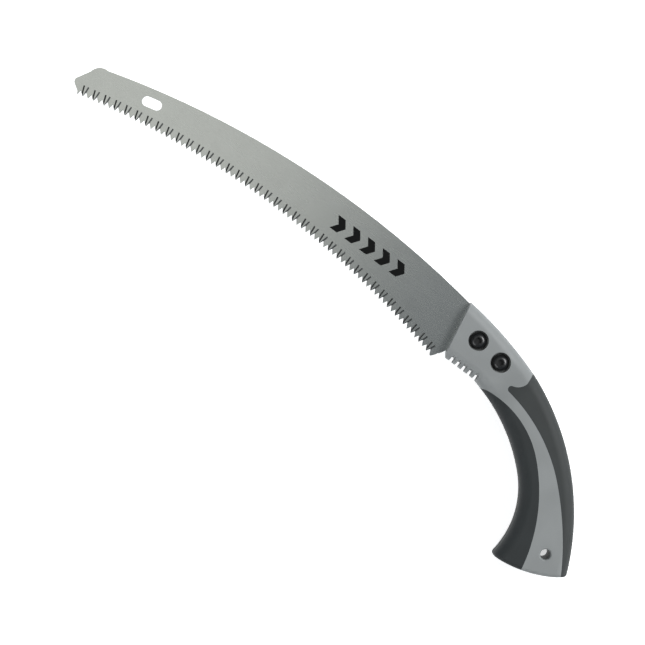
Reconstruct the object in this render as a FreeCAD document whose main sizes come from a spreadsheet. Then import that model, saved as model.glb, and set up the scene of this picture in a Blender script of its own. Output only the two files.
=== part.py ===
import FreeCAD, Part
import itertools
import math
import os
import Sketcher
from FreeCAD import Placement, Rotation, Vector

# A curved pull saw with a fixed blade, in millimetres.  While it is being drawn, X runs along the
# straight line between the first and last tooth tips, from the toe at -X to the heel at X = 0, Y
# rises from the teeth to the spine, and Z is the thickness, with the parting plane at Z = 0.  At
# the end every piece is moved so that the origin lies under the middle of the saw, which rests on
# its side, the bolt heads up.

SIZES = [
    # blade
    ("tooth_chord", 300.0, "straight line from the first tooth tip to the last"),
    ("tooth_sagitta", 17.8, "rise of the tooth line above that chord"),
    ("tooth_pitch", 4.0, "nominal distance between tooth tips"),
    ("tooth_depth", 3.2, "tip to gullet"),
    ("tooth_skew", 0.32, "place of the gullet's root, as a share of the pitch"),
    ("tip_flat", 0.25, "flat left on each tooth tip"),
    ("facet_width", 1.1, "width of a ground facet"),
    ("facet_depth", 0.32, "depth of a ground facet at its outer edge"),
    ("facet_low", 0.5, "height above the tips where a facet starts"),
    ("facet_high", 7.2, "height above the tips where a facet ends"),
    ("facet_gap", 0.15, "inner edge of a facet from the tooth's middle, at its lower end"),
    ("facet_spread", 1.05, "inner edge of a facet from the tooth's middle, at its upper end"),
    ("blade_thickness", 1.3, "steel plate"),
    ("toe_width", 24.3, "height of the spine at the toe"),
    ("heel_width", 45.8, "height of the spine at the heel"),
    ("spine_sagitta", 16.3, "rise of the spine above its own chord"),
    ("nose_reach", 11.0, "nose beyond the first tooth"),
    ("slot_back", 41.0, "hang slot, from the first tooth tip"),
    ("slot_height", 24.5, "hang slot above the tooth chord"),
    ("slot_tilt", 13.5, "slope of the hang slot in degrees"),
    ("slot_length", 14.3, "hang slot end to end"),
    ("slot_width", 7.0, "hang slot"),
    ("tang_length", 57.0, "steel inside the handle"),
    ("tang_clearance", 0.2, "gap round the tang in its pocket"),
    # bolts
    ("bolt_x", 16.6, "front bolt from the heel"),
    ("bolt_y", 28.5, "front bolt above the tooth chord"),
    ("bolt_spacing", 21.2, "front bolt to rear bolt"),
    ("bolt_slope", -7.9, "direction from the front bolt to the rear bolt in degrees"),
    ("bolt_diameter", 6.0, "thread diameter"),
    ("bolt_clearance", 0.4, "extra diameter of the holes round a bolt"),
    ("bolt_sink", 0.4, "bolt's end below the ferrule's reverse face"),
    ("bolt_chamfer", 0.7, "chamfer on the bolt's end"),
    ("head_diameter", 10.5, "button head"),
    ("head_height", 3.3, "button head"),
    ("head_flat", 4.8, "flat middle of the button head"),
    ("head_brim", 0.5, "straight edge of the button head"),
    ("head_bulge", 0.8, "rise of the button head's dome between its flat and its edge"),
    ("socket_flats", 4.0, "hex socket across its flats"),
    ("socket_depth", 2.0, "hex socket"),
    ("washer_diameter", 12.0, "plain washer"),
    ("washer_thickness", 1.0, "plain washer"),
    ("washer_clearance", 2.0, "extra diameter of the recess round a washer"),
    ("head_sink", 0.3, "bolt head below the ferrule's face"),
    ("nut_flats", 10.0, "hex nut across its flats"),
    ("nut_height", 5.0, "hex nut"),
    ("nut_sink", 0.4, "hex nut below the ferrule's face"),
    ("nut_clearance", 0.2, "extra width of the nut's pocket"),
    # handle
    ("ferrule_thickness", 18.0, "front of the handle"),
    ("grip_thickness", 25.0, "hand part of the handle"),
    ("blend_start", 42.0, "where the handle begins to thicken"),
    ("blend_end", 66.0, "where it has thickened"),
    ("edge_round", 8.0, "rounding along the belly and the back"),
    ("edge_flat", 1.0, "half the narrow flat that the roundings leave on the ferrule's edges"),
    ("end_round", 2.6, "rounding of the butt's edge"),
    ("mouth_round", 0.6, "rounding of the front edge"),
    ("belly_line", 5.7, "height of the ferrule's straight underside"),
    ("belly_straight", 26.6, "end of the straight underside"),
    ("throat_radius", 23.3, "belly's first bend"),
    ("throat_turn", 15.4, "belly's first bend in degrees"),
    ("throat_run", 7.9, "straight after the first bend"),
    ("palm_radius", 121.4, "belly's long curve"),
    ("palm_turn", 29.0, "belly's long curve in degrees"),
    ("hook_radius", 62.0, "belly's last curve"),
    ("hook_turn", 55.4, "belly's last curve in degrees"),
    ("arch_radius", 278.0, "back over the ferrule"),
    ("back_radius", 175.3, "back over the grip"),
    ("back_turn", 50.9, "back over the grip in degrees"),
    ("back_tail", 3.6, "straight end of the back"),
    ("butt_radius", 86.0, "end face seen from the side"),
    ("seam", 0.3, "width and depth of the groove where the shells meet"),
    ("skin", 2.5, "soft grip over the core"),
    ("wall", 2.6, "core's wall"),
    ("cavity_round", 2.5, "rounding inside the core"),
    ("cavity_start", 64.0, "front end of the hollow"),
    ("web", 2.0, "stiffening webs across the hollow"),
    ("groove_count", 5, "finger grooves under the ferrule"),
    ("groove_start", 10.05, "first groove"),
    ("groove_pitch", 5.0, "groove to groove"),
    ("groove_width", 2.5, "one groove"),
    ("groove_depth", 3.4, "one groove at the parting plane"),
    ("groove_ring", 24.0, "radius of the groove's floor round the ferrule"),
    ("lanyard_x", 139.7, "hanging hole from the heel"),
    ("lanyard_y", -60.3, "hanging hole from the tooth chord"),
    ("lanyard_bore", 7.0, "hanging hole"),
    ("lanyard_round", 1.2, "rounded rim of the hanging hole"),
    ("pin_diameter", 4.0, "locating pins between the shells"),
    ("pin_length", 4.0, "locating pins"),
    ("pin_clearance", 0.1, "gap round a pin in its socket"),
]

doc = FreeCAD.newDocument("pull_saw")
sheet = doc.addObject("Spreadsheet::Sheet", "sizes")
for row, (alias, value, note) in enumerate(SIZES, start=1):
    sheet.set(f"A{row}", note)
    sheet.set(f"B{row}", str(value))
    sheet.setAlias(f"B{row}", alias)
doc.recompute()

Z = Vector(0, 0, 1)
TALL = 60.0  # longer than any cut needs
PROUD = 1.0  # how far a cutter stands out of the face that it cuts


def size(name):
    return float(sheet.get(name))


# ---------------------------------------------------------------- flat geometry

def heading(degrees):
    return Vector(math.cos(math.radians(degrees)), math.sin(math.radians(degrees)), 0)


def left_of(direction):
    return Vector(-direction.y, direction.x, 0)


def trace(start, degrees, moves):
    """Edges from start: (None, length) is a straight run, (radius, angle) a turn to the right."""
    edges = []
    point = start
    for radius, amount in moves:
        if radius is None:
            end = point + heading(degrees) * amount
            edges.append(Part.LineSegment(point, end).toShape())
        else:
            centre = point - left_of(heading(degrees)) * radius
            middle = centre + left_of(heading(degrees - amount / 2)) * radius
            end = centre + left_of(heading(degrees - amount)) * radius
            edges.append(Part.Arc(point, middle, end).toShape())
            degrees -= amount
        point = end
    return edges, point


def run(*points):
    """Straight edges through the points."""
    return [Part.LineSegment(a, b).toShape() for a, b in zip(points, points[1:])]


def bulge(start, end, sagitta):
    """An arc that bulges to the left of start -> end."""
    side = left_of((end - start).normalize())
    return Part.Arc(start, (start + end) * 0.5 + side * sagitta, end).toShape()


def prism(edges, low=-TALL / 2, high=TALL / 2):
    """The closed outline as a solid between two heights."""
    face = Part.Face(Part.Wire(Part.__sortEdges__(edges)))
    solid = face.extrude(Z * (high - low))
    solid.translate(Z * low)
    return solid


def on_path(edge, path):
    """True when the middle of the edge lies straight above or below the flat path."""
    point = edge.valueAt((edge.FirstParameter + edge.LastParameter) / 2)
    flat = Part.Vertex(point.x, point.y, 0)
    return min(flat.distToShape(step)[0] for step in path) < 1e-3


# ---------------------------------------------------------------- handle outline

FRONT_TOP = Vector(-3.1, 46.8, 0)
FRONT_LOW = Vector(3.5, 9.9, 0)
CHIN = Vector(6.1, size("belly_line"), 0)
BACK_JOIN = Vector(46.0, 37.8, 0)
BACK_HEADING = -15.5
BLEND_EASE = 0.42  # share of the blend over which each of its ends stays level
BELLY_TURNS = [
    (size("throat_radius"), size("throat_turn")),
    (None, size("throat_run")),
    (size("palm_radius"), size("palm_turn")),
    (size("hook_radius"), size("hook_turn")),
]
BACK_TURNS = [
    (size("back_radius"), size("back_turn")),
    (None, size("back_tail")),
]


def offset_turns(turns, offset):
    """The same turns on a path that runs outside the first one by the offset."""
    return [(radius and radius + offset, amount) for radius, amount in turns]


def handle_paths(inset):
    """Front, belly, butt and back edges of the handle, moved inwards by the inset."""
    inward = left_of((FRONT_TOP - FRONT_LOW).normalize()) * -inset
    low = FRONT_LOW + inward
    up = (FRONT_TOP - FRONT_LOW).normalize()
    chin = CHIN + Vector(inset, inset, 0)
    straight = Vector(size("belly_straight"), chin.y, 0)
    turns, belly_end = trace(straight, 0, offset_turns(BELLY_TURNS, inset))
    belly = run(chin, straight) + turns
    join = BACK_JOIN - left_of(heading(BACK_HEADING)) * inset
    turns, back_end = trace(join, BACK_HEADING, offset_turns(BACK_TURNS, -inset))
    radius = size("arch_radius") - inset
    centre = join - left_of(heading(BACK_HEADING)) * radius
    along = (low - centre).dot(up)
    top = low + up * (math.sqrt(along**2 + radius**2 - (low - centre).dot(low - centre)) - along)
    middle = centre + ((top + join) * 0.5 - centre).normalize() * radius
    back = [Part.Arc(top, middle, join).toShape()] + turns
    half = belly_end.distanceToPoint(back_end) / 2
    sagitta = size("butt_radius") - math.sqrt(size("butt_radius")**2 - half**2)
    butt = [bulge(belly_end, back_end, -sagitta)]
    front = run(top, low, chin)
    return front, belly, butt, back


def thickness_profile(inset):
    """Solid between the two sides, thin at the ferrule and thick at the grip."""
    thin = size("ferrule_thickness") / 2 - inset
    thick = size("grip_thickness") / 2 - inset
    start = size("blend_start")
    end = size("blend_end")
    reach = (end - start) * BLEND_EASE
    far = end + TALL * 4
    edges = []
    for side in (1, -1):
        blend = Part.BezierCurve()
        blend.setPoles([
            Vector(start, 0, side * thin),
            Vector(start + reach, 0, side * thin),
            Vector(end - reach, 0, side * thick),
            Vector(end, 0, side * thick),
        ])
        edges += run(Vector(-TALL, 0, side * thin), Vector(start, 0, side * thin))
        edges.append(blend.toShape())
        edges += run(Vector(end, 0, side * thick), Vector(far, 0, side * thick))
    edges += run(Vector(-TALL, 0, thin), Vector(-TALL, 0, -thin))
    edges += run(Vector(far, 0, thick), Vector(far, 0, -thick))
    solid = Part.Face(Part.Wire(Part.__sortEdges__(edges))).extrude(Vector(0, TALL * 6, 0))
    solid.translate(Vector(0, -TALL * 4, 0))
    return solid


def edge_rounding(inset):
    """Radius along the belly and the back, limited by the ferrule's thickness."""
    return min(size("edge_round"), size("ferrule_thickness") / 2 - size("edge_flat")) - inset


def cavity_rounding(inset):
    """Radius inside the core, limited in the same way."""
    return min(size("cavity_round"), size("ferrule_thickness") / 2 - size("edge_flat") - inset)


def reach_of(edge):
    """Distance of the middle of the edge from the parting plane."""
    return abs(edge.valueAt((edge.FirstParameter + edge.LastParameter) / 2).z)


def handle_form(inset, edge_round, end_round=0.0, mouth_round=0.0):
    """The handle's outer shape, moved inwards by the inset and rounded."""
    front, belly, butt, back = handle_paths(inset)
    solid = prism(front + belly + butt + back).common(thickness_profile(inset)).Solids[0]
    if inset:
        short = prism(list(itertools.chain(*handle_paths(0))))
        belly_end, back_end = (butt[0].Vertexes[number].Point for number in (0, -1))
        short.translate(left_of((back_end - belly_end).normalize()) * inset)
        solid = solid.common(short).Solids[0]
    lowest = size("ferrule_thickness") / 2 - inset - 0.01
    long_edges = [e for e in solid.Edges if on_path(e, belly + back) and reach_of(e) > lowest]
    solid = solid.makeFillet(edge_round, long_edges)
    if end_round:
        solid = solid.makeFillet(end_round, [e for e in solid.Edges if on_path(e, butt)])
    if mouth_round:
        solid = solid.makeFillet(mouth_round, [e for e in solid.Edges if on_path(e, front[:1])])
    return solid


def front_region():
    """Prism over the part of the handle that the front grip covers."""
    corner = Vector(42.9, 5.1, 0)
    start = Vector(31.5, -2.2, 0)
    line, end = trace(corner, 6.3, [(67.0, 49.0), (121.8, 36.0), (None, 14.0)])
    outside = run(end, Vector(60, -140, 0), Vector(0, -60, 0), start)
    lip = [bulge(start, corner, 1.6)]
    return prism(line + outside + lip)


def back_region():
    """Prism over the part of the handle that the back grip covers, with its hooked front end."""
    corner = Vector(53.9, 13.0, 0)
    line, end = trace(corner, -8.4, [(119.7, 34.3), (217.7, 15.3), (None, 20.0)])
    tip = Vector(53.1, 17.5, 0)
    crook = Vector(60.5, 24.8, 0)
    top = Vector(59.2, 45.6, 0)
    outside = run(end, Vector(200, -60, 0), Vector(150, 46, 0), top)
    hook = run(top, crook) + [bulge(tip, crook, -1.5), bulge(corner, tip, 1.7)]
    return prism(line + outside + hook)


# ---------------------------------------------------------------- bodies and sketches

def new_body(name):
    body = doc.addObject("PartDesign::Body", name)
    body.Label = name
    return body


def new_sketch(body, name, offset=None, role="XY_Plane"):
    sketch = body.newObject("Sketcher::SketchObject", name)
    plane = next(f for f in body.Origin.OriginFeatures if f.Role == role)
    sketch.AttachmentSupport = [(plane, "")]
    sketch.MapMode = "FlatFace"
    if offset is not None:
        sketch.AttachmentOffset = offset
    return sketch


def bound_circle(sketch, alias, extra=""):
    """A circle about the sketch's origin whose diameter follows the sheet."""
    index = sketch.addGeometry(Part.Circle(Vector(0, 0, 0), Z, size(alias) / 2), False)
    sketch.addConstraint(Sketcher.Constraint("Coincident", index, 3, -1, 1))
    number = sketch.addConstraint(Sketcher.Constraint("Diameter", index, size(alias)))
    sketch.setExpression(f"Constraints[{number}]", f"sizes.{alias}{extra}")


def polygon(sketch, points):
    """Closed straight outline, its corners joined."""
    count = len(points)
    for number in range(count):
        line = Part.LineSegment(points[number], points[(number + 1) % count])
        sketch.addGeometry(line, False)
    for number in range(count):
        joint = Sketcher.Constraint("Coincident", number, 2, (number + 1) % count, 1)
        sketch.addConstraint(joint)


def pocket(body, sketch, name, expression=None):
    """Cuts from the sketch against its normal, right through unless a length is given."""
    cut = body.newObject("PartDesign::Pocket", name)
    cut.Profile = sketch
    if expression is None:
        cut.Type = 1
    else:
        cut.setExpression("Length", expression)
    doc.recompute()
    return cut


# ---------------------------------------------------------------- blade

def tooth_radius():
    """Radius of the circle on which the tooth tips stand."""
    sagitta = size("tooth_sagitta")
    return (size("tooth_chord")**2 / 4 + sagitta**2) / (2 * sagitta)


def tooth_centre():
    return Vector(-size("tooth_chord") / 2, size("tooth_sagitta") - tooth_radius(), 0)


def arc_point(x):
    """Point of the tooth circle at this distance along the chord."""
    centre = tooth_centre()
    return Vector(x, centre.y + math.sqrt(tooth_radius()**2 - (x - centre.x)**2), 0)


def tang_edges(gap):
    """Outline of the tang behind the ferrule's front face, grown by the gap."""
    length = size("tang_length")
    top = Vector(-2.3, size("heel_width") - 0.2 + gap * 0.5, 0)
    shoulder = Vector(9.0, size("heel_width") - 5.5 + gap, 0)
    rear_top = Vector(length - 9, 33.6 + gap, 0)
    rear = Vector(length + gap, 24.5, 0)
    rear_low = Vector(length - 9, 16.6 - gap, 0)
    low = Vector(9.0, 11.4 - gap, 0)
    heel = Vector(3.4, 10.9 - gap * 0.5, 0)
    edges = run(top, shoulder, rear_top)
    edges.append(Part.Arc(rear_top, rear, rear_low).toShape())
    edges += run(rear_low, low, heel)
    return edges, top, heel


def blade_outline():
    """Spine, tang, heel, tooth line and nose, whose corners are placed from the first tip."""
    chord = size("tooth_chord")
    toe = Vector(-chord + 3.8, size("toe_width"), 0)
    shoulder = Vector(-chord - 5.6, size("toe_width") - 7.4, 0)
    nose = Vector(-chord - size("nose_reach"), 7.2, 0)
    nose_low = Vector(-chord - size("nose_reach") + 1.4, 3.9, 0)
    first = Vector(-chord - 4.9, 0.8, 0)
    last = arc_point(-3.3)
    heel_low = Vector(-0.3, 4.8, 0)
    tang, top, heel = tang_edges(0)
    edges = [bulge(toe, top, size("spine_sagitta"))]
    edges += tang
    edges.append(bulge(heel, heel_low, 0.5))
    edges.append(bulge(heel_low, last, 0.3))
    start = arc_point(-chord - 4.1)
    edges.append(Part.Arc(last, arc_point(-chord / 2), start).toShape())
    edges += run(start, first, nose_low)
    edges.append(bulge(nose_low, nose, 0.5))
    edges += run(nose, shoulder)
    edges.append(bulge(shoulder, toe, 2.3))
    return edges


def tooth_frame(angle, height):
    """Sketch frame at the centre of the tooth circle, its Y axis towards the given angle."""
    return Placement(tooth_centre() + Z * height, Rotation(Z, angle))


def gullet_points(pitch):
    """One gullet, its steep side towards the toe, about the local Y axis."""
    radius = tooth_radius()
    half = (pitch - size("tip_flat")) / 2
    root = -half + 2 * half * size("tooth_skew")
    return [
        Vector(-half, radius - PROUD, 0),
        Vector(-half, radius, 0),
        Vector(root, radius + size("tooth_depth"), 0),
        Vector(half, radius, 0),
        Vector(half, radius - PROUD, 0),
    ]


def add_facet(body, name, angle, side, face):
    """One ground facet: a wedge cut along the line from a tooth's tip up over the gullet."""
    radius = tooth_radius()
    low = Vector(side * size("facet_gap"), radius + size("facet_low"), 0)
    high = Vector(side * size("facet_spread"), radius + size("facet_high"), 0)
    turn = Rotation(Z, angle)
    along = turn.multVec((high - low).normalize())
    outward = turn.multVec(Vector(side, 0, 0))
    across = (outward - along * outward.dot(along)).normalize()
    # local X across the facet and outwards, local Z along it or back, local Y up out of the face
    up = Z * face
    normal = across.cross(up)
    start = high if normal.dot(along) > 0 else low
    offset = Placement(tooth_centre() + turn.multVec(start), Rotation(across, up, normal, "XYZ"))
    sketch = new_sketch(body, name + "_outline", offset)
    surface = size("blade_thickness") / 2
    polygon(sketch, [
        Vector(0, surface, 0),
        Vector(size("facet_width"), surface - size("facet_depth"), 0),
        Vector(size("facet_width"), surface + PROUD, 0),
        Vector(0, surface + PROUD, 0),
    ])
    cut = body.newObject("PartDesign::Pocket", name)
    cut.Profile = sketch
    cut.Length = low.distanceToPoint(high)
    doc.recompute()
    return cut


def polar(body, name, originals, axis_sketch, step, count):
    """Repeats the cuts about the centre of the tooth circle."""
    pattern = body.newObject("PartDesign::PolarPattern", name)
    pattern.Originals = originals
    pattern.Axis = (axis_sketch, ["N_Axis"])
    pattern.Angle = step * (count - 1)
    pattern.Occurrences = count
    body.Tip = pattern
    doc.recompute()
    return pattern


def make_blade():
    body = new_body("blade")
    thickness = "sizes.blade_thickness"
    plate = new_sketch(body, "blade_plate")
    plate.setExpression("AttachmentOffset.Base.z", f"-{thickness} / 2")
    for edge in blade_outline():
        plate.addGeometry(edge.Curve.trim(edge.FirstParameter, edge.LastParameter), False)
    pad = body.newObject("PartDesign::Pad", "blade_pad")
    pad.Profile = plate
    pad.setExpression("Length", thickness)
    doc.recompute()

    top = size("blade_thickness") / 2
    for number, point in enumerate(bolt_points(), start=1):
        hole = new_sketch(body, f"bolt_hole_{number}_circle", Placement(point + Z * top, Rotation()))
        bound_circle(hole, "bolt_diameter", " + sizes.bolt_clearance")
        pocket(body, hole, f"bolt_hole_{number}")

    middle = Vector(-size("tooth_chord") + size("slot_back"), size("slot_height"), 0)
    slot = new_sketch(body, "hang_slot_outline")
    slot.AttachmentOffset = Placement(middle + Z * top, Rotation(Z, size("slot_tilt")))
    reach = (size("slot_length") - size("slot_width")) / 2
    radius = size("slot_width") / 2
    for side in (1, -1):
        centre = Part.Circle(Vector(side * reach, 0, 0), Z, radius)
        first = -math.pi / 2 if side > 0 else math.pi / 2
        slot.addGeometry(Part.ArcOfCircle(centre, first, first + math.pi), False)
        slot.addGeometry(Part.LineSegment(Vector(-reach, side * radius, 0),
                                          Vector(reach, side * radius, 0)), False)
    pocket(body, slot, "hang_slot")

    radius = tooth_radius()
    span = 2 * math.degrees(math.asin(size("tooth_chord") / 2 / radius))
    count = round(math.radians(span) * radius / size("tooth_pitch"))
    step = span / count
    pitch = math.radians(step) * radius
    heel_angle = -span / 2
    gullet = new_sketch(body, "gullet_outline", tooth_frame(heel_angle + step * 1.5, top))
    polygon(gullet, gullet_points(pitch))
    first = pocket(body, gullet, "gullet")
    before = body.Shape.Volume
    polar(body, "gullets", [first], gullet, step, count)
    if body.Shape.Volume > before - (count - 2) * pitch:
        raise RuntimeError("the gullets were not cut")

    # every second tooth is ground on the upper face, the teeth between on the lower one
    for face, start in ((1, 2), (-1, 1)):
        angle = heel_angle + step * start
        label = "upper" if face > 0 else "lower"
        cuts = [
            add_facet(body, f"facet_{label}_rear", angle, 1, face),
            add_facet(body, f"facet_{label}_front", angle, -1, face),
        ]
        polar(body, f"facets_{label}", cuts, gullet, step * 2, (count - start) // 2 + 1)
    return body


# ---------------------------------------------------------------- bolts, washers and nuts

def bolt_points():
    front = Vector(size("bolt_x"), size("bolt_y"), 0)
    return front, front + heading(size("bolt_slope")) * size("bolt_spacing")


def head_seat():
    """Height of the face on which a bolt's head lies."""
    return size("ferrule_thickness") / 2 - size("head_sink") - size("head_height")


def washer_seat():
    """Height of the face on which a washer lies."""
    return head_seat() - size("washer_thickness")


def nut_seat():
    """Depth of the face against which a nut lies."""
    return size("ferrule_thickness") / 2 - size("nut_sink") - size("nut_height")


def make_bolt(name, point):
    """Button-head bolt, its origin under the head."""
    body = new_body(name)
    profile = new_sketch(body, name + "_profile", role="XZ_Plane")
    top = Vector(size("head_flat") / 2, size("head_height"), 0)
    brim = Vector(size("head_diameter") / 2, size("head_brim"), 0)
    shank = size("bolt_diameter") / 2
    end = -(head_seat() + size("ferrule_thickness") / 2 - size("bolt_sink"))
    chamfer = size("bolt_chamfer")
    corners = [
        Vector(0, size("head_height"), 0), top, brim, Vector(brim.x, 0, 0), Vector(shank, 0, 0),
        Vector(shank, end + chamfer, 0), Vector(shank - chamfer, end, 0), Vector(0, end, 0),
    ]
    for number, corner in enumerate(corners):
        follower = corners[(number + 1) % len(corners)]
        if corner is top:
            side = left_of((brim - top).normalize())
            dome = (top + brim) * 0.5 + side * size("head_bulge")
            profile.addGeometry(Part.Arc(top, dome, brim), False)
        else:
            profile.addGeometry(Part.LineSegment(corner, follower), False)
    turned = body.newObject("PartDesign::Revolution", name + "_turned")
    turned.Profile = profile
    turned.ReferenceAxis = (profile, ["V_Axis"])
    turned.Angle = 360
    doc.recompute()
    socket = new_sketch(body, name + "_socket_outline")
    socket.setExpression("AttachmentOffset.Base.z", "sizes.head_height")
    corner = size("socket_flats") / 2 / math.cos(math.radians(30))
    polygon(socket, [heading(60 * number) * corner for number in range(6)])
    pocket(body, socket, name + "_socket", "sizes.socket_depth")
    body.Placement = Placement(point + Z * head_seat(), Rotation())
    return body


def bound_cylinder(name, radius, height):
    tool = doc.addObject("Part::Cylinder", name)
    tool.setExpression("Radius", radius)
    tool.setExpression("Height", height)
    return tool


def cut_piece(name, base, tool, point):
    piece = doc.addObject("Part::Cut", name)
    piece.Base = base
    piece.Tool = tool
    piece.Label = name
    piece.Placement = Placement(point, Rotation())
    return piece


def make_washer(name, point):
    disc = bound_cylinder(name + "_disc", "sizes.washer_diameter / 2", "sizes.washer_thickness")
    hole = bound_cylinder(name + "_hole", "sizes.bolt_diameter / 2 + sizes.bolt_clearance / 2",
                          "sizes.washer_thickness")
    return cut_piece(name, disc, hole, point + Z * washer_seat())


def make_nut(name, point):
    """Hex nut whose thread closes on the bolt."""
    block = doc.addObject("Part::Prism", name + "_block")
    block.Polygon = 6
    block.setExpression("Circumradius", "sizes.nut_flats / 2 / cos(30)")
    block.setExpression("Height", "sizes.nut_height")
    hole = bound_cylinder(name + "_thread", "sizes.bolt_diameter / 2", "sizes.nut_height")
    return cut_piece(name, block, hole, point - Z * (nut_seat() + size("nut_height")))


# ---------------------------------------------------------------- handle

def cylinder_at(point, radius, low, high):
    return Part.makeCylinder(radius, high - low, Vector(point.x, point.y, low))


def groove_cutters():
    """Finger grooves that run round the ferrule's underside, with rounded floors."""
    width = size("groove_width")
    ring = size("groove_ring") + width / 2
    height = size("belly_line") + size("groove_depth") + size("groove_ring")
    cutters = []
    for number in range(int(size("groove_count"))):
        x = size("groove_start") + number * size("groove_pitch")
        centre = Vector(x, height, 0)
        corner = Vector(x - width / 2, height - TALL / 2, -TALL / 2)
        block = Part.makeBox(width, TALL / 2, TALL, corner)
        core = Part.makeCylinder(ring, width * 2, centre - Vector(width, 0, 0), Vector(1, 0, 0))
        floor = Part.makeTorus(ring, width / 2, centre, Vector(1, 0, 0))
        cutters.append(block.cut(core))
        cutters.append(floor.common(block))
    return cutters


PIN_POINTS = [Vector(84.0, 0.5, 0), Vector(125.0, -36.0, 0)]
WEBS = [(Vector(76, 6, 0), 60.0), (Vector(104, -16, 0), 44.0), (Vector(132, -46, 0), 30.0)]


def lanyard_point():
    return Vector(size("lanyard_x"), size("lanyard_y"), 0)


def lanyard_cutter():
    """Hanging hole with a rounded rim on both sides."""
    point = lanyard_point()
    rim = size("lanyard_round")
    bore = size("lanyard_bore") / 2
    half = size("grip_thickness") / 2
    cutter = cylinder_at(point, bore, -half - PROUD, half + PROUD)
    for side in (1, -1):
        mouth = Part.makeCylinder(bore + rim, rim, point + Z * (half - rim) * side, Z * side)
        ring = Part.makeTorus(bore + rim, rim, point + Z * (half - rim) * side, Z)
        cutter = cutter.fuse(mouth.cut(ring))
    return cutter


def hollow():
    """The space inside the core, crossed by webs and standing clear of the bosses."""
    inset = size("skin") + size("wall")
    space = handle_form(inset, cavity_rounding(inset))
    corner = Vector(-TALL, -TALL * 3, -TALL / 2)
    space = space.cut(Part.makeBox(size("cavity_start") + TALL, TALL * 6, TALL, corner))
    half = size("grip_thickness") / 2
    pin_boss = size("pin_diameter") / 2 + size("wall")
    bosses = [cylinder_at(point, pin_boss, -half, half) for point in PIN_POINTS]
    bosses.append(cylinder_at(lanyard_point(), size("lanyard_bore") / 2 + size("wall"), -half, half))
    for point, angle in WEBS:
        web = Part.makeBox(TALL * 2, size("web"), half * 2, Vector(-TALL, -size("web") / 2, -half))
        web.rotate(Vector(0, 0, 0), Z, angle)
        web.translate(point)
        bosses.append(web)
    return space.cut(bosses)


def tang_pocket():
    """Slot between the shells that the tang fills."""
    edges, top, heel = tang_edges(size("tang_clearance"))
    outside = run(heel, Vector(-20, 8, 0), Vector(-20, 46, 0), top)
    half = size("blade_thickness") / 2
    return prism(edges + outside, -half, half)


def seam_cutter():
    """Shallow groove round the outside where the two shells meet."""
    seam = size("seam")
    band = prism(list(itertools.chain(*handle_paths(-seam))), -seam / 2, seam / 2)
    return band.cut(handle_form(seam, edge_rounding(seam)))


def make_handle():
    """Both shells and both soft grips, all cut from one outer form."""
    form = handle_form(0, edge_rounding(0), size("end_round"), size("mouth_round"))
    core = handle_form(size("skin"), edge_rounding(size("skin")))
    front_grip = form.common(front_region()).cut(core)
    back_grip = form.common(back_region()).cut(core)

    points = bolt_points()
    half = size("ferrule_thickness") / 2
    shank = (size("bolt_diameter") + size("bolt_clearance")) / 2
    recess = (size("washer_diameter") + size("washer_clearance")) / 2
    corner = (size("nut_flats") + size("nut_clearance")) / 2 / math.cos(math.radians(30))
    cutters = groove_cutters() + [hollow(), tang_pocket(), lanyard_cutter(), seam_cutter()]
    for point in points:
        cutters.append(cylinder_at(point, shank, -half - PROUD, half + PROUD))
        cutters.append(cylinder_at(point, recess, washer_seat(), half + TALL / 4))
        hexagon = [point + heading(60 * number) * corner for number in range(6)]
        cutters.append(prism(run(*hexagon, hexagon[0]), -half - TALL / 4, -nut_seat()))
    body = form.cut([front_grip, back_grip]).cut(cutters)

    wide = TALL * 10
    halves = {
        "shell_upper": Part.makeBox(wide, wide, wide, Vector(-wide / 2, -wide / 2, 0)),
        "shell_lower": Part.makeBox(wide, wide, wide, Vector(-wide / 2, -wide / 2, -wide)),
    }
    shapes = {name: body.common(box) for name, box in halves.items()}
    length = size("pin_length")
    gap = size("pin_clearance")
    for point in PIN_POINTS:
        pin = cylinder_at(point, size("pin_diameter") / 2, -length, length)
        socket = cylinder_at(point, size("pin_diameter") / 2 + gap, 0, length + gap)
        shapes["shell_upper"] = shapes["shell_upper"].cut(socket)
        shapes["shell_lower"] = shapes["shell_lower"].fuse(pin).removeSplitter()
    shapes["front_grip"] = front_grip
    shapes["back_grip"] = back_grip
    pieces = []
    for name, shape in shapes.items():
        piece = doc.addObject("Part::Feature", name)
        piece.Label = name
        piece.Shape = shape.Solids[0] if len(shape.Solids) == 1 else shape
        pieces.append(piece)
    return pieces


# ---------------------------------------------------------------- assembly

pieces = [make_blade()] + make_handle()
for place, point in zip(("front", "rear"), bolt_points()):
    pieces.append(make_bolt(f"{place}_bolt", point))
    pieces.append(make_washer(f"{place}_washer", point))
    pieces.append(make_nut(f"{place}_nut", point))
doc.recompute()

# the origin goes under the middle of the saw's box
box = FreeCAD.BoundBox()
for piece in pieces:
    box.add(piece.Shape.optimalBoundingBox(False))
shift = Vector(-(box.XMin + box.XMax) / 2, -(box.YMin + box.YMax) / 2, -box.ZMin)
for piece in pieces:
    piece.Placement = Placement(piece.Placement.Base + shift, piece.Placement.Rotation)
doc.recompute()

for item in doc.Objects:
    if "Invalid" in item.State or "Error" in item.State:
        raise RuntimeError(f"{item.Label} failed: {item.State}")
os.makedirs("parts", exist_ok=True)
for piece in pieces:
    if piece.Shape.isNull() or not piece.Shape.isValid():
        raise RuntimeError(f"{piece.Label} has no valid shape")
    if len(piece.Shape.Solids) != 1:
        raise RuntimeError(f"{piece.Label} is {len(piece.Shape.Solids)} solids")
for piece in pieces:
    piece.Shape.exportStep(f"parts/{piece.Label}.step")
    print(piece.Label, round(piece.Shape.Volume), piece.Placement.Base)
print("box", box.XLength, box.YLength, box.ZLength, "shift", shift)
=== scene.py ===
import math

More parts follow.
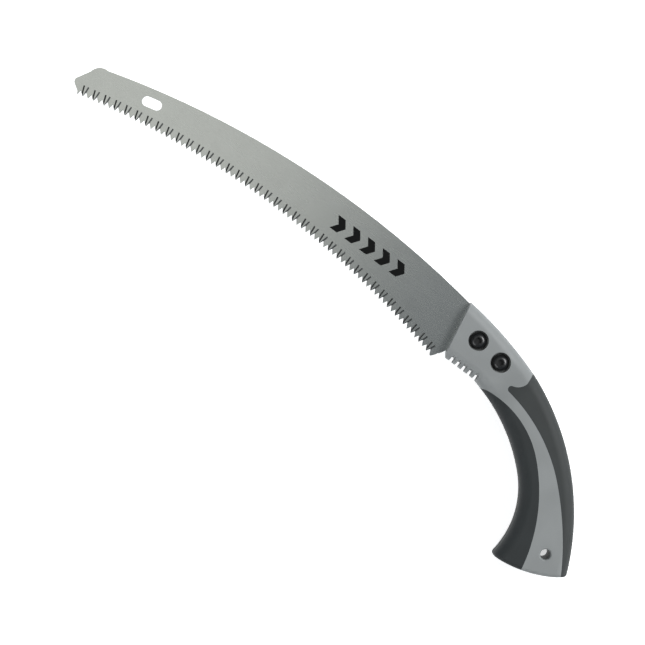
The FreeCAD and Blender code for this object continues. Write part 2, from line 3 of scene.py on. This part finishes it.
import bmesh
import bpy
from bpy.props import FloatProperty, FloatVectorProperty, IntProperty, PointerProperty
from mathutils import Matrix, Vector


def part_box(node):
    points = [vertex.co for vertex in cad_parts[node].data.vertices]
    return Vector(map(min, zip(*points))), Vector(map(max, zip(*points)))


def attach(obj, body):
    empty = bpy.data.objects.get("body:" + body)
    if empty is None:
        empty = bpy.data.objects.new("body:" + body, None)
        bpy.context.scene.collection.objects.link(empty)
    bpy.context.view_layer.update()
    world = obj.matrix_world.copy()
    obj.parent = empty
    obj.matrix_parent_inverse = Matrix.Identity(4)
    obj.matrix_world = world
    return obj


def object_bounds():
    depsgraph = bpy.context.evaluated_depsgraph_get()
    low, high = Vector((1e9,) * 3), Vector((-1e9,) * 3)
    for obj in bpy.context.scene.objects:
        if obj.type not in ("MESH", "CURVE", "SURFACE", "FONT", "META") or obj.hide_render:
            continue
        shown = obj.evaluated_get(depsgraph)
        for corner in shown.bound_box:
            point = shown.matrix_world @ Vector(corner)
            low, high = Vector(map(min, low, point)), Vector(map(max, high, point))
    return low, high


bl_info = {
    "name": "Curved pull saw",
    "version": (1, 0, 0),
    "blender": (4, 5, 0),
    "location": "View3D > Sidebar > Pull Saw",
    "description": "Finishes a fixed-blade pull saw: steel, handle, bolts, print and studio",
    "category": "Object",
}

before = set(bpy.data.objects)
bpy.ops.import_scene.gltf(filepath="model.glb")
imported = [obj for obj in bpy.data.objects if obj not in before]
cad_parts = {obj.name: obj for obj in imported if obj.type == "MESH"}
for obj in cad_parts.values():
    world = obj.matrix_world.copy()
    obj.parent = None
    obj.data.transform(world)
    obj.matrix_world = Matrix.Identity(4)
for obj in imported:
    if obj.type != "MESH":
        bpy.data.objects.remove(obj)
CAD_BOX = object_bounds()
MM = 0.001


FLOOR_REACH = 6.0  # from the middle of the floor to its edges
CHEVRON_REACH = 0.36  # how far a chevron's point stands forward, as a share of its height
INK_GAP = 0.2  # gap under the ink that keeps it apart from the steel, as a share of its film
FACET_COARSE = 0.22  # roughness that the grinding wheel adds
WALL_LIGHT = 0.85  # strength of the sky at the horizon
CEILING_LIGHT = 0.125  # strength of the sky overhead
CEILING_START = 0.75  # sine of the height above which the sky is all ceiling


def setting_of(code):
    """An sRGB hex colour as the default of a colour setting."""
    return [int(code[number:number + 2], 16) / 255 for number in (1, 3, 5)]


def hex_of(colour):
    """The sRGB hex colour of a colour setting."""
    return "#" + "".join(f"{round(channel * 255):02x}" for channel in colour)


def linear(code):
    """An sRGB hex colour as linear RGBA."""
    return [c / 12.92 if c <= 0.04045 else ((c + 0.055) / 1.055) ** 2.4
            for c in setting_of(code)] + [1]


# ---------------------------------------------------------------- settings

class SawBladeSettings(bpy.types.PropertyGroup):
    steel: FloatVectorProperty(
        name="Steel", description="Reflected colour of the ground steel", subtype="COLOR_GAMMA",
        size=3, min=0, max=1, default=setting_of("#c3c8c8"))
    roughness: FloatProperty(
        name="Roughness", description="Blur of the satin grind", default=0.27, min=0, max=1)
    grain: FloatProperty(
        name="Grain", description="Spacing of the grind's grain", default=0.9 * MM, unit="LENGTH",
        precision=4)
    # painted shade: how dark the facets, gullets and edges are painted against the plate
    painted_facet_shade: FloatProperty(
        name="Facet shade", description="Brightness of the ground facets against the plate",
        default=0.13, min=0, max=1)


class SawPrintSettings(bpy.types.PropertyGroup):
    count: IntProperty(
        name="Chevrons", description="Chevrons in the pull mark", default=5, min=1, max=12)
    pitch: FloatProperty(
        name="Pitch", description="Distance between chevrons", default=12.6 * MM, unit="LENGTH")
    height: FloatProperty(
        name="Height", description="Height of a chevron", default=10.5 * MM, unit="LENGTH")
    stroke: FloatProperty(
        name="Stroke", description="Width of a chevron's stroke", default=6.0 * MM, unit="LENGTH")
    film: FloatProperty(
        name="Film", description="Thickness of the ink", default=0.03 * MM, unit="LENGTH",
        precision=5)
    place: FloatProperty(
        name="Place", description="Middle of the mark along the blade, from its heel",
        default=78 * MM, unit="LENGTH")
    rise: FloatProperty(
        name="Rise", description="Middle of the mark below the top of the spine",
        default=18 * MM, unit="LENGTH")


class SawHandleSettings(bpy.types.PropertyGroup):
    shell: FloatVectorProperty(
        name="Shell", description="Colour of the moulded shells", subtype="COLOR_GAMMA",
        size=3, min=0, max=1, default=setting_of("#767979"))
    # the two grips are one rubber in two colours: the front grip's darker colour is painted shade
    # of the belly side, the back grip's lighter colour painted sheen
    front_grip: FloatVectorProperty(
        name="Front grip", description="Colour of the soft grip on the belly",
        subtype="COLOR_GAMMA", size=3, min=0, max=1, default=setting_of("#202425"))
    back_grip: FloatVectorProperty(
        name="Back grip", description="Colour of the soft grip on the back",
        subtype="COLOR_GAMMA", size=3, min=0, max=1, default=setting_of("#2d3030"))
    texture: FloatProperty(
        name="Texture", description="Spacing of the mould's fine texture", default=0.7 * MM,
        unit="LENGTH", precision=4)


class SawStageSettings(bpy.types.PropertyGroup):
    distance: FloatProperty(
        name="Distance", description="Camera above the parting plane", default=1.335,
        unit="LENGTH", min=0.5, max=5)
    lens: FloatProperty(
        name="Lens", description="Focal length", default=108.9, subtype="DISTANCE_CAMERA")
    turn: FloatProperty(
        name="Turn", description="Camera's turn about its own axis",
        default=math.radians(36.9), subtype="ANGLE")
    glow: FloatProperty(
        name="Glow", description="Light that comes up through the table", default=0.6, min=0)
    aim_x: FloatProperty(
        name="Aim X", description="What the camera looks at, along the saw", default=-0.5 * MM,
        unit="LENGTH")
    aim_y: FloatProperty(
        name="Aim Y", description="What the camera looks at, across the saw",
        default=-10.66 * MM, unit="LENGTH")


# ---------------------------------------------------------------- material helpers

def add_node(tree, kind, settings=None, **inputs):
    """Adds a node; an input is a value or another node's output socket."""
    node = tree.nodes.new(kind)
    for key, value in (settings or {}).items():
        setattr(node, key, value)
    for key, value in inputs.items():
        socket = node.inputs[int(key[1:]) if key[0] == "_" else key.replace("_", " ")]
        if isinstance(value, bpy.types.NodeSocket):
            tree.links.new(value, socket)
        else:
            socket.default_value = value
    return node


def new_material(name, **principled):
    material = bpy.data.materials.new(name)
    material.use_nodes = True
    tree = material.node_tree
    tree.nodes.clear()
    shader = add_node(tree, "ShaderNodeBsdfPrincipled", **principled)
    output = add_node(tree, "ShaderNodeOutputMaterial")
    tree.links.new(shader.outputs["BSDF"], output.inputs["Surface"])
    place = add_node(tree, "ShaderNodeTexCoord").outputs["Object"]
    return material, tree, shader, place


def noise(tree, place, spacing, detail=2.0, stretch=(1, 1, 1)):
    """Noise whose blotches are about one spacing apart, in metres, drawn out along an axis."""
    scale = [1 / side for side in stretch]
    mapped = add_node(tree, "ShaderNodeMapping", Vector=place, Scale=scale)
    return add_node(tree, "ShaderNodeTexNoise", Vector=mapped.outputs["Vector"],
                    Scale=1 / spacing, Detail=detail).outputs["Fac"]


def ramp(tree, factor, low, high, start=0.0, end=1.0):
    """Turns a factor between start and end into a value between low and high."""
    return add_node(tree, "ShaderNodeMapRange", Value=factor, From_Min=start, From_Max=end,
                    To_Min=low, To_Max=high).outputs["Result"]


def blend_colours(tree, factor, first, second):
    return add_node(tree, "ShaderNodeMix", {"data_type": "RGBA"}, _0=factor, _6=first,
                    _7=second).outputs[2]


def shade(colour, share):
    return [channel * share for channel in colour[:3]] + [1]


def bump(tree, shader, height, distance, strength=1.0):
    node = add_node(tree, "ShaderNodeBump", Height=height, Distance=distance, Strength=strength)
    tree.links.new(node.outputs["Normal"], shader.inputs["Normal"])


# ---------------------------------------------------------------- materials

def tilt_mask(tree, level, steep):
    """1 where the surface leans out of the plate's plane, 0 on the plate itself."""
    normal = add_node(tree, "ShaderNodeNewGeometry").outputs["True Normal"]
    height = add_node(tree, "ShaderNodeSeparateXYZ", Vector=normal).outputs["Z"]
    upright = add_node(tree, "ShaderNodeMath", {"operation": "ABSOLUTE"}, _0=height)
    return ramp(tree, upright.outputs[0], 0, 1, level, steep)


def satin_ground_steel(settings):
    """Hardened carbon steel, ground along the blade: soft blurred reflections, a faint grain
    along the grind and slightly uneven polish.  Whatever leans out of the plate's plane, which
    is the facets, gullets and edges, is left coarse by the wheel and darker with painted shade."""
    colour = linear(hex_of(settings.steel))
    material, tree, shader, place = new_material("satin ground carbon steel", Metallic=1.0)
    cloud = noise(tree, place, 14 * MM, detail=3.0)
    # a real grind's lines are about 0.1 mm apart, too fine to show, so these are coarser
    scratch = noise(tree, place, settings.grain, detail=3.0, stretch=(14, 1, 1))
    speckle = noise(tree, place, 0.8 * MM, detail=1.0)
    tone = add_node(tree, "ShaderNodeMath", {"operation": "ADD"}, _0=cloud, _1=speckle)
    plate = blend_colours(tree, ramp(tree, tone.outputs[0], 0, 1, 0.7, 1.3),
                          shade(colour, 0.96), shade(colour, 1.03))
    facet = tilt_mask(tree, 0.995, 0.98)
    # painted shade: the base colour goes darker on the facets, gullets and edges, standing in for
    # their dark reflections
    mixed = blend_colours(tree, facet, plate, shade(colour, settings.painted_facet_shade))
    tree.links.new(mixed, shader.inputs["Base Color"])
    smooth = ramp(tree, scratch, settings.roughness - 0.012, settings.roughness + 0.012)
    coarse = add_node(tree, "ShaderNodeMath", {"operation": "MULTIPLY_ADD"},
                      _0=facet, _1=FACET_COARSE, _2=smooth)
    tree.links.new(coarse.outputs[0], shader.inputs["Roughness"])
    bump(tree, shader, scratch, 0.0015 * MM, 0.1)
    return material


def moulded_abs(settings):
    """Glass-filled ABS in silver grey, from a spark-eroded mould: satin, with a fine even
    texture that softens its highlights."""
    colour = linear(hex_of(settings.shell))
    material, tree, shader, place = new_material(
        "moulded silver-grey ABS", IOR=1.53, Specular_IOR_Level=0.35)
    # a real mould's texture is about 0.05 mm, too fine to show, so this one is coarser
    fine = noise(tree, place, settings.texture)
    cloud = noise(tree, place, 22 * MM)
    mixed = blend_colours(tree, ramp(tree, cloud, 0, 1, 0.35, 0.65),
                          shade(colour, 0.96), shade(colour, 1.04))
    tree.links.new(mixed, shader.inputs["Base Color"])
    tree.links.new(ramp(tree, fine, 0.5, 0.58), shader.inputs["Roughness"])
    bump(tree, shader, fine, 0.02 * MM, 0.6)
    return material


def soft_tpe(settings, which):
    """Soft thermoplastic rubber, moulded over the shells: dark, nearly matt, with a broad
    weak sheen and skin-oil variation in its gloss."""
    # painted light: the front grip's darker colour is painted shade and the back grip's lighter
    # one painted sheen on the same rubber
    colour = linear(hex_of(getattr(settings, which)))
    material, tree, shader, place = new_material(
        f"overmoulded TPE {which}", IOR=1.5, Specular_IOR_Level=0.3)
    fine = noise(tree, place, settings.texture * 0.8)
    cloud = noise(tree, place, 16 * MM, detail=3.0)
    mixed = blend_colours(tree, ramp(tree, cloud, 0, 1, 0.3, 0.7),
                          shade(colour, 0.9), shade(colour, 1.1))
    tree.links.new(mixed, shader.inputs["Base Color"])
    tree.links.new(ramp(tree, cloud, 0.6, 0.74), shader.inputs["Roughness"])
    bump(tree, shader, fine, 0.03 * MM, 0.7)
    return material


def black_oxide_steel():
    """Blackened alloy steel: a dark oxide skin with an oily half gloss."""
    material, tree, shader, place = new_material("black oxide steel", IOR=1.5)
    cloud = noise(tree, place, 2.5 * MM, detail=3.0)
    mixed = blend_colours(tree, ramp(tree, cloud, 0, 1, 0.3, 0.7), linear("#0c0d0e"),
                          linear("#161719"))
    tree.links.new(mixed, shader.inputs["Base Color"])
    tree.links.new(ramp(tree, cloud, 0.3, 0.42), shader.inputs["Roughness"])
    bump(tree, shader, cloud, 0.01 * MM, 0.4)
    return material


def zinc_plate():
    """Bright zinc plate on steel: bluish, slightly cloudy."""
    material, tree, shader, place = new_material("zinc-plated steel", Metallic=1.0)
    cloud = noise(tree, place, 1.6 * MM, detail=3.0)
    mixed = blend_colours(tree, ramp(tree, cloud, 0, 1, 0.3, 0.7), linear("#b5bac0"),
                          linear("#cdd1d4"))
    tree.links.new(mixed, shader.inputs["Base Color"])
    tree.links.new(ramp(tree, cloud, 0.26, 0.4), shader.inputs["Roughness"])
    bump(tree, shader, cloud, 0.01 * MM, 0.4)
    return material


def pad_print_ink():
    """Black two-part ink, pad printed: thin, flat and faintly uneven."""
    material, tree, shader, place = new_material(
        "pad-printed black ink", IOR=1.5, Specular_IOR_Level=0.1)
    cloud = noise(tree, place, 0.9 * MM, detail=3.0)
    mixed = blend_colours(tree, ramp(tree, cloud, 0, 1, 0.3, 0.75), linear("#050606"),
                          linear("#0a0b0b"))
    tree.links.new(mixed, shader.inputs["Base Color"])
    tree.links.new(ramp(tree, cloud, 0.5, 0.6), shader.inputs["Roughness"])
    return material


def give(node, material):
    """Puts the material on a carried-over node."""
    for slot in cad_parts[node].material_slots:
        slot.link = "OBJECT"
        slot.material = material


# ---------------------------------------------------------------- pieces

class SAW_OT_blade(bpy.types.Operator):
    """Gives the blade its satin ground steel"""
    bl_idname = "saw.blade"
    bl_label = "Finish the blade"

    def execute(self, context):
        give("blade", satin_ground_steel(context.scene.saw_blade))
        return {"FINISHED"}


class SAW_OT_handle(bpy.types.Operator):
    """Gives the shells and the soft grips their plastics"""
    bl_idname = "saw.handle"
    bl_label = "Finish the handle"

    def execute(self, context):
        settings = context.scene.saw_handle
        plastic = moulded_abs(settings)
        give("shell_upper", plastic)
        give("shell_lower", plastic)
        give("front_grip", soft_tpe(settings, "front_grip"))
        give("back_grip", soft_tpe(settings, "back_grip"))
        return {"FINISHED"}


class SAW_OT_fasteners(bpy.types.Operator):
    """Gives the bolts, washers and nuts their finishes"""
    bl_idname = "saw.fasteners"
    bl_label = "Finish the fasteners"

    def execute(self, context):
        oxide = black_oxide_steel()
        zinc = zinc_plate()
        for place in ("front", "rear"):
            give(f"{place}_bolt", oxide)
            give(f"{place}_washer", oxide)
            give(f"{place}_nut", zinc)
        return {"FINISHED"}


def chevron(settings):
    """One flat chevron about the origin, pointing towards the handle, as a thin closed plate."""
    half = settings.height / 2
    reach = settings.height * CHEVRON_REACH
    back = -(reach + settings.stroke) / 2
    outline = [
        (back, half), (back + settings.stroke, half), (back + settings.stroke + reach, 0),
        (back + settings.stroke, -half), (back, -half), (back + reach, 0),
    ]
    mesh = bpy.data.meshes.new("chevron")
    shape = bmesh.new()
    face = shape.faces.new([shape.verts.new((x, y, 0)) for x, y in outline])
    raised = bmesh.ops.extrude_face_region(shape, geom=[face])
    moved = [item for item in raised["geom"] if isinstance(item, bmesh.types.BMVert)]
    bmesh.ops.translate(shape, verts=moved, vec=(0, 0, settings.film))
    bmesh.ops.recalc_face_normals(shape, faces=shape.faces)
    shape.to_mesh(mesh)
    shape.free()
    return bpy.data.objects.new("chevron", mesh)


def row_tree(name, material):
    """Geometry nodes: the input mesh repeated in a row along X, centred on the origin."""
    tree = bpy.data.node_groups.new(name, "GeometryNodeTree")
    for label, kind in (("Geometry", "NodeSocketGeometry"), ("Count", "NodeSocketInt"),
                        ("Pitch", "NodeSocketFloat")):
        tree.interface.new_socket(label, in_out="INPUT", socket_type=kind)
    tree.interface.new_socket("Geometry", in_out="OUTPUT", socket_type="NodeSocketGeometry")
    given = tree.nodes.new("NodeGroupInput").outputs
    less = add_node(tree, "ShaderNodeMath", {"operation": "SUBTRACT"}, _0=given["Count"], _1=1.0)
    span = add_node(tree, "ShaderNodeMath", {"operation": "MULTIPLY"},
                    _0=less.outputs[0], _1=given["Pitch"])
    start = add_node(tree, "ShaderNodeMath", {"operation": "MULTIPLY"},
                     _0=span.outputs[0], _1=-0.5)
    first = add_node(tree, "ShaderNodeCombineXYZ", X=start.outputs[0])
    step = add_node(tree, "ShaderNodeCombineXYZ", X=given["Pitch"])
    line = add_node(tree, "GeometryNodeMeshLine", {"mode": "OFFSET"}, Count=given["Count"],
                    Start_Location=first.outputs[0], Offset=step.outputs[0])
    row = add_node(tree, "GeometryNodeInstanceOnPoints", Points=line.outputs["Mesh"],
                   Instance=given["Geometry"])
    real = add_node(tree, "GeometryNodeRealizeInstances", Geometry=row.outputs["Instances"])
    painted = add_node(tree, "GeometryNodeSetMaterial", Geometry=real.outputs["Geometry"],
                       Material=material)
    output = tree.nodes.new("NodeGroupOutput")
    tree.links.new(painted.outputs["Geometry"], output.inputs["Geometry"])
    return tree


def set_inputs(modifier, **values):
    """Sets a geometry nodes modifier's inputs by the identifiers of their sockets."""
    for item in modifier.node_group.interface.items_tree:
        if item.in_out == "INPUT" and item.name in values:
            modifier[item.identifier] = values[item.name]


class SAW_OT_print(bpy.types.Operator):
    """Prints the plain pull mark on the upper face of the blade"""
    bl_idname = "saw.print"
    bl_label = "Print the pull mark"

    def execute(self, context):
        settings = context.scene.saw_print
        ink = pad_print_ink()
        source = chevron(settings)
        context.scene.collection.objects.link(source)
        modifier = source.modifiers.new("row", "NODES")
        modifier.node_group = row_tree("row of chevrons", ink)
        set_inputs(modifier, Count=settings.count, Pitch=settings.pitch)
        context.view_layer.update()
        evaluated = source.evaluated_get(context.evaluated_depsgraph_get())
        mesh = bpy.data.meshes.new_from_object(evaluated)
        source.modifiers.remove(modifier)
        bpy.data.objects.remove(source)
        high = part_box("blade")[1]
        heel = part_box("shell_upper")[0].x
        mesh.transform(Matrix.Translation((
            heel - settings.place, high.y - settings.rise, high.z + settings.film * INK_GAP)))
        mark = bpy.data.objects.new("pull_mark", mesh)
        context.scene.collection.objects.link(mark)
        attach(mark, "root")
        return {"FINISHED"}


# ---------------------------------------------------------------- stage

def softbox(name, place, aim, width, height, power, colour="#ffffff"):
    """A rectangular softbox at a place, turned to face what it lights."""
    data = bpy.data.lights.new(name, "AREA")
    data.shape = "RECTANGLE"
    data.size = width
    data.size_y = height
    data.energy = power
    data.color = linear(colour)[:3]
    lamp = bpy.data.objects.new(name, data)
    lamp.location = place
    lamp.rotation_euler = (Vector(aim) - Vector(place)).to_track_quat("-Z", "Y").to_euler()
    bpy.context.scene.collection.objects.link(lamp)


def opal_table(glow):
    """Opal acrylic table of a product studio, lit weakly from below: matt white, and its glow
    keeps the shadows pale."""
    material, tree, shader, place = new_material(
        "opal acrylic table", Roughness=0.9, Specular_IOR_Level=0.1,
        Emission_Color=linear("#ffffff"), Emission_Strength=glow)
    cloud = noise(tree, place, 40 * MM, detail=3.0)
    mixed = blend_colours(tree, cloud, linear("#f6f6f6"), linear("#fbfbfb"))
    tree.links.new(mixed, shader.inputs["Base Color"])
    return material


class SAW_OT_stage(bpy.types.Operator):
    """Lays the pale floor and sets up the lights, the world and the camera"""
    bl_idname = "saw.stage"
    bl_label = "Set the stage"

    def execute(self, context):
        settings = context.scene.saw_stage
        scene = context.scene
        mesh = bpy.data.meshes.new("floor")
        side = FLOOR_REACH
        corners = [(-side, -side, 0), (side, -side, 0), (side, side, 0), (-side, side, 0)]
        mesh.from_pydata(corners, [], [(0, 1, 2, 3)])
        mesh.materials.append(opal_table(settings.glow))
        floor = bpy.data.objects.new("floor", mesh)
        scene.collection.objects.link(floor)

        world = bpy.data.worlds.new("studio")
        world.use_nodes = True
        # a studio's walls are paler than its ceiling, so the light rises towards the horizon
        sky = world.node_tree
        background = sky.nodes["Background"]
        background.inputs["Color"].default_value = linear("#c8d4e0")
        direction = add_node(sky, "ShaderNodeTexCoord").outputs["Generated"]
        height = add_node(sky, "ShaderNodeSeparateXYZ", Vector=direction).outputs["Z"]
        light = ramp(sky, height, WALL_LIGHT, CEILING_LIGHT, 0, CEILING_START)
        sky.links.new(light, background.inputs["Strength"])
        scene.world = world

        softbox("key softbox", (0.95, 1.2, 1.5), (0, 0, 0), 1.2, 0.9, 57)
        softbox("fill softbox", (-0.4, -1.7, 1.3), (0, 0, 0), 1.6, 0.9, 22)
        softbox("toe panel", (-0.57, 0.1, 1.7), (-0.57, 0.1, 0), 1.0, 1.4, 3.5, "#fffbf0")

        scene.view_settings.view_transform = "Standard"
        data = bpy.data.cameras.new("camera")
        data.lens = settings.lens
        data.sensor_width = 36
        camera = bpy.data.objects.new("camera", data)
        middle = (CAD_BOX[0][2] + CAD_BOX[1][2]) / 2
        camera.location = (settings.aim_x, settings.aim_y, middle + settings.distance)
        camera.rotation_euler = (0, 0, settings.turn)
        scene.collection.objects.link(camera)
        scene.camera = camera
        return {"FINISHED"}


# ---------------------------------------------------------------- add-on

class SAW_PT_panel(bpy.types.Panel):
    """Settings and steps of the pull saw"""
    bl_idname = "SAW_PT_panel"
    bl_label = "Pull Saw"
    bl_space_type = "VIEW_3D"
    bl_region_type = "UI"
    bl_category = "Pull Saw"

    def draw(self, context):
        for name, settings in SETTINGS.items():
            group = getattr(context.scene, name)
            column = self.layout.column(align=True)
            for prop in settings.__annotations__:
                column.prop(group, prop)
        for operator in OPERATORS:
            self.layout.operator(operator.bl_idname)


SETTINGS = {
    "saw_blade": SawBladeSettings,
    "saw_print": SawPrintSettings,
    "saw_handle": SawHandleSettings,
    "saw_stage": SawStageSettings,
}
OPERATORS = [SAW_OT_blade, SAW_OT_print, SAW_OT_handle, SAW_OT_fasteners, SAW_OT_stage]


def register():
    for name, settings in SETTINGS.items():
        bpy.utils.register_class(settings)
        setattr(bpy.types.Scene, name, PointerProperty(type=settings))
    for operator in OPERATORS:
        bpy.utils.register_class(operator)
    bpy.utils.register_class(SAW_PT_panel)


def unregister():
    bpy.utils.unregister_class(SAW_PT_panel)
    for operator in reversed(OPERATORS):
        bpy.utils.unregister_class(operator)
    for name, settings in SETTINGS.items():
        delattr(bpy.types.Scene, name)
        bpy.utils.unregister_class(settings)


def main():
    register()
    bpy.ops.saw.blade()
    bpy.ops.saw.print()
    bpy.ops.saw.handle()
    bpy.ops.saw.fasteners()
    bpy.ops.saw.stage()


if __name__ == "__main__":
    main()
